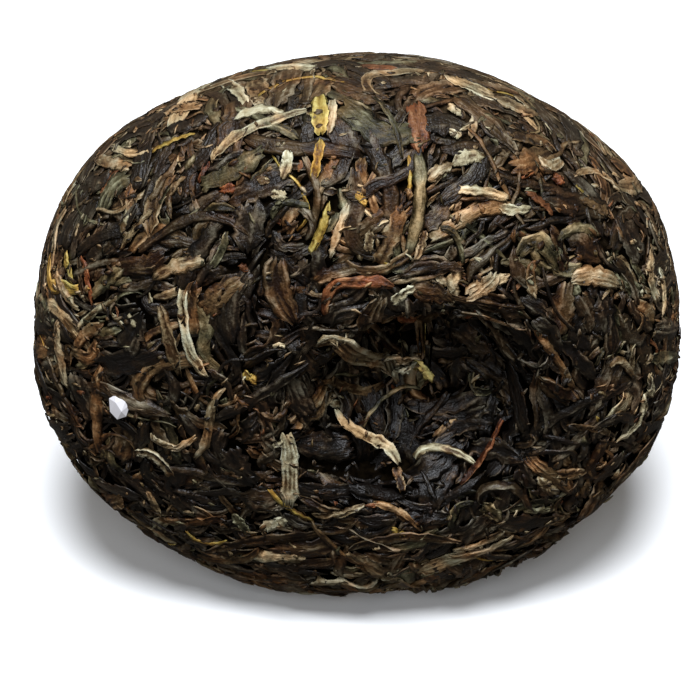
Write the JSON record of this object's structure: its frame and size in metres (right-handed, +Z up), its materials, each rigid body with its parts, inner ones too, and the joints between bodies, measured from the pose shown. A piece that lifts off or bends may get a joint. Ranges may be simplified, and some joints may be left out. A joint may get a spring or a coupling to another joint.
{
  "type": "pu-erh tuocha",
  "caption": "Round cake of pressed dark tea leaves with a domed back and a rough off-centre hollow in its face, lying on its side.",
  "frame": {"origin": "on the floor, at the bottom centre of the cake's box as it lies on its side", "axes": "+Z up; the cake's pressing axis lies along Y, with the hollow facing -Y and the domed back facing +Y"},
  "size_m": [0.0818, 0.0416, 0.0807],
  "materials": {
    "tea_leaf": "satin",
    "pale_leaf": "matte",
    "pale_chip": "matte"
  },
  "bodies": {
    "root": {"tuocha": "tea_leaf"}
  },
  "joints": []
}
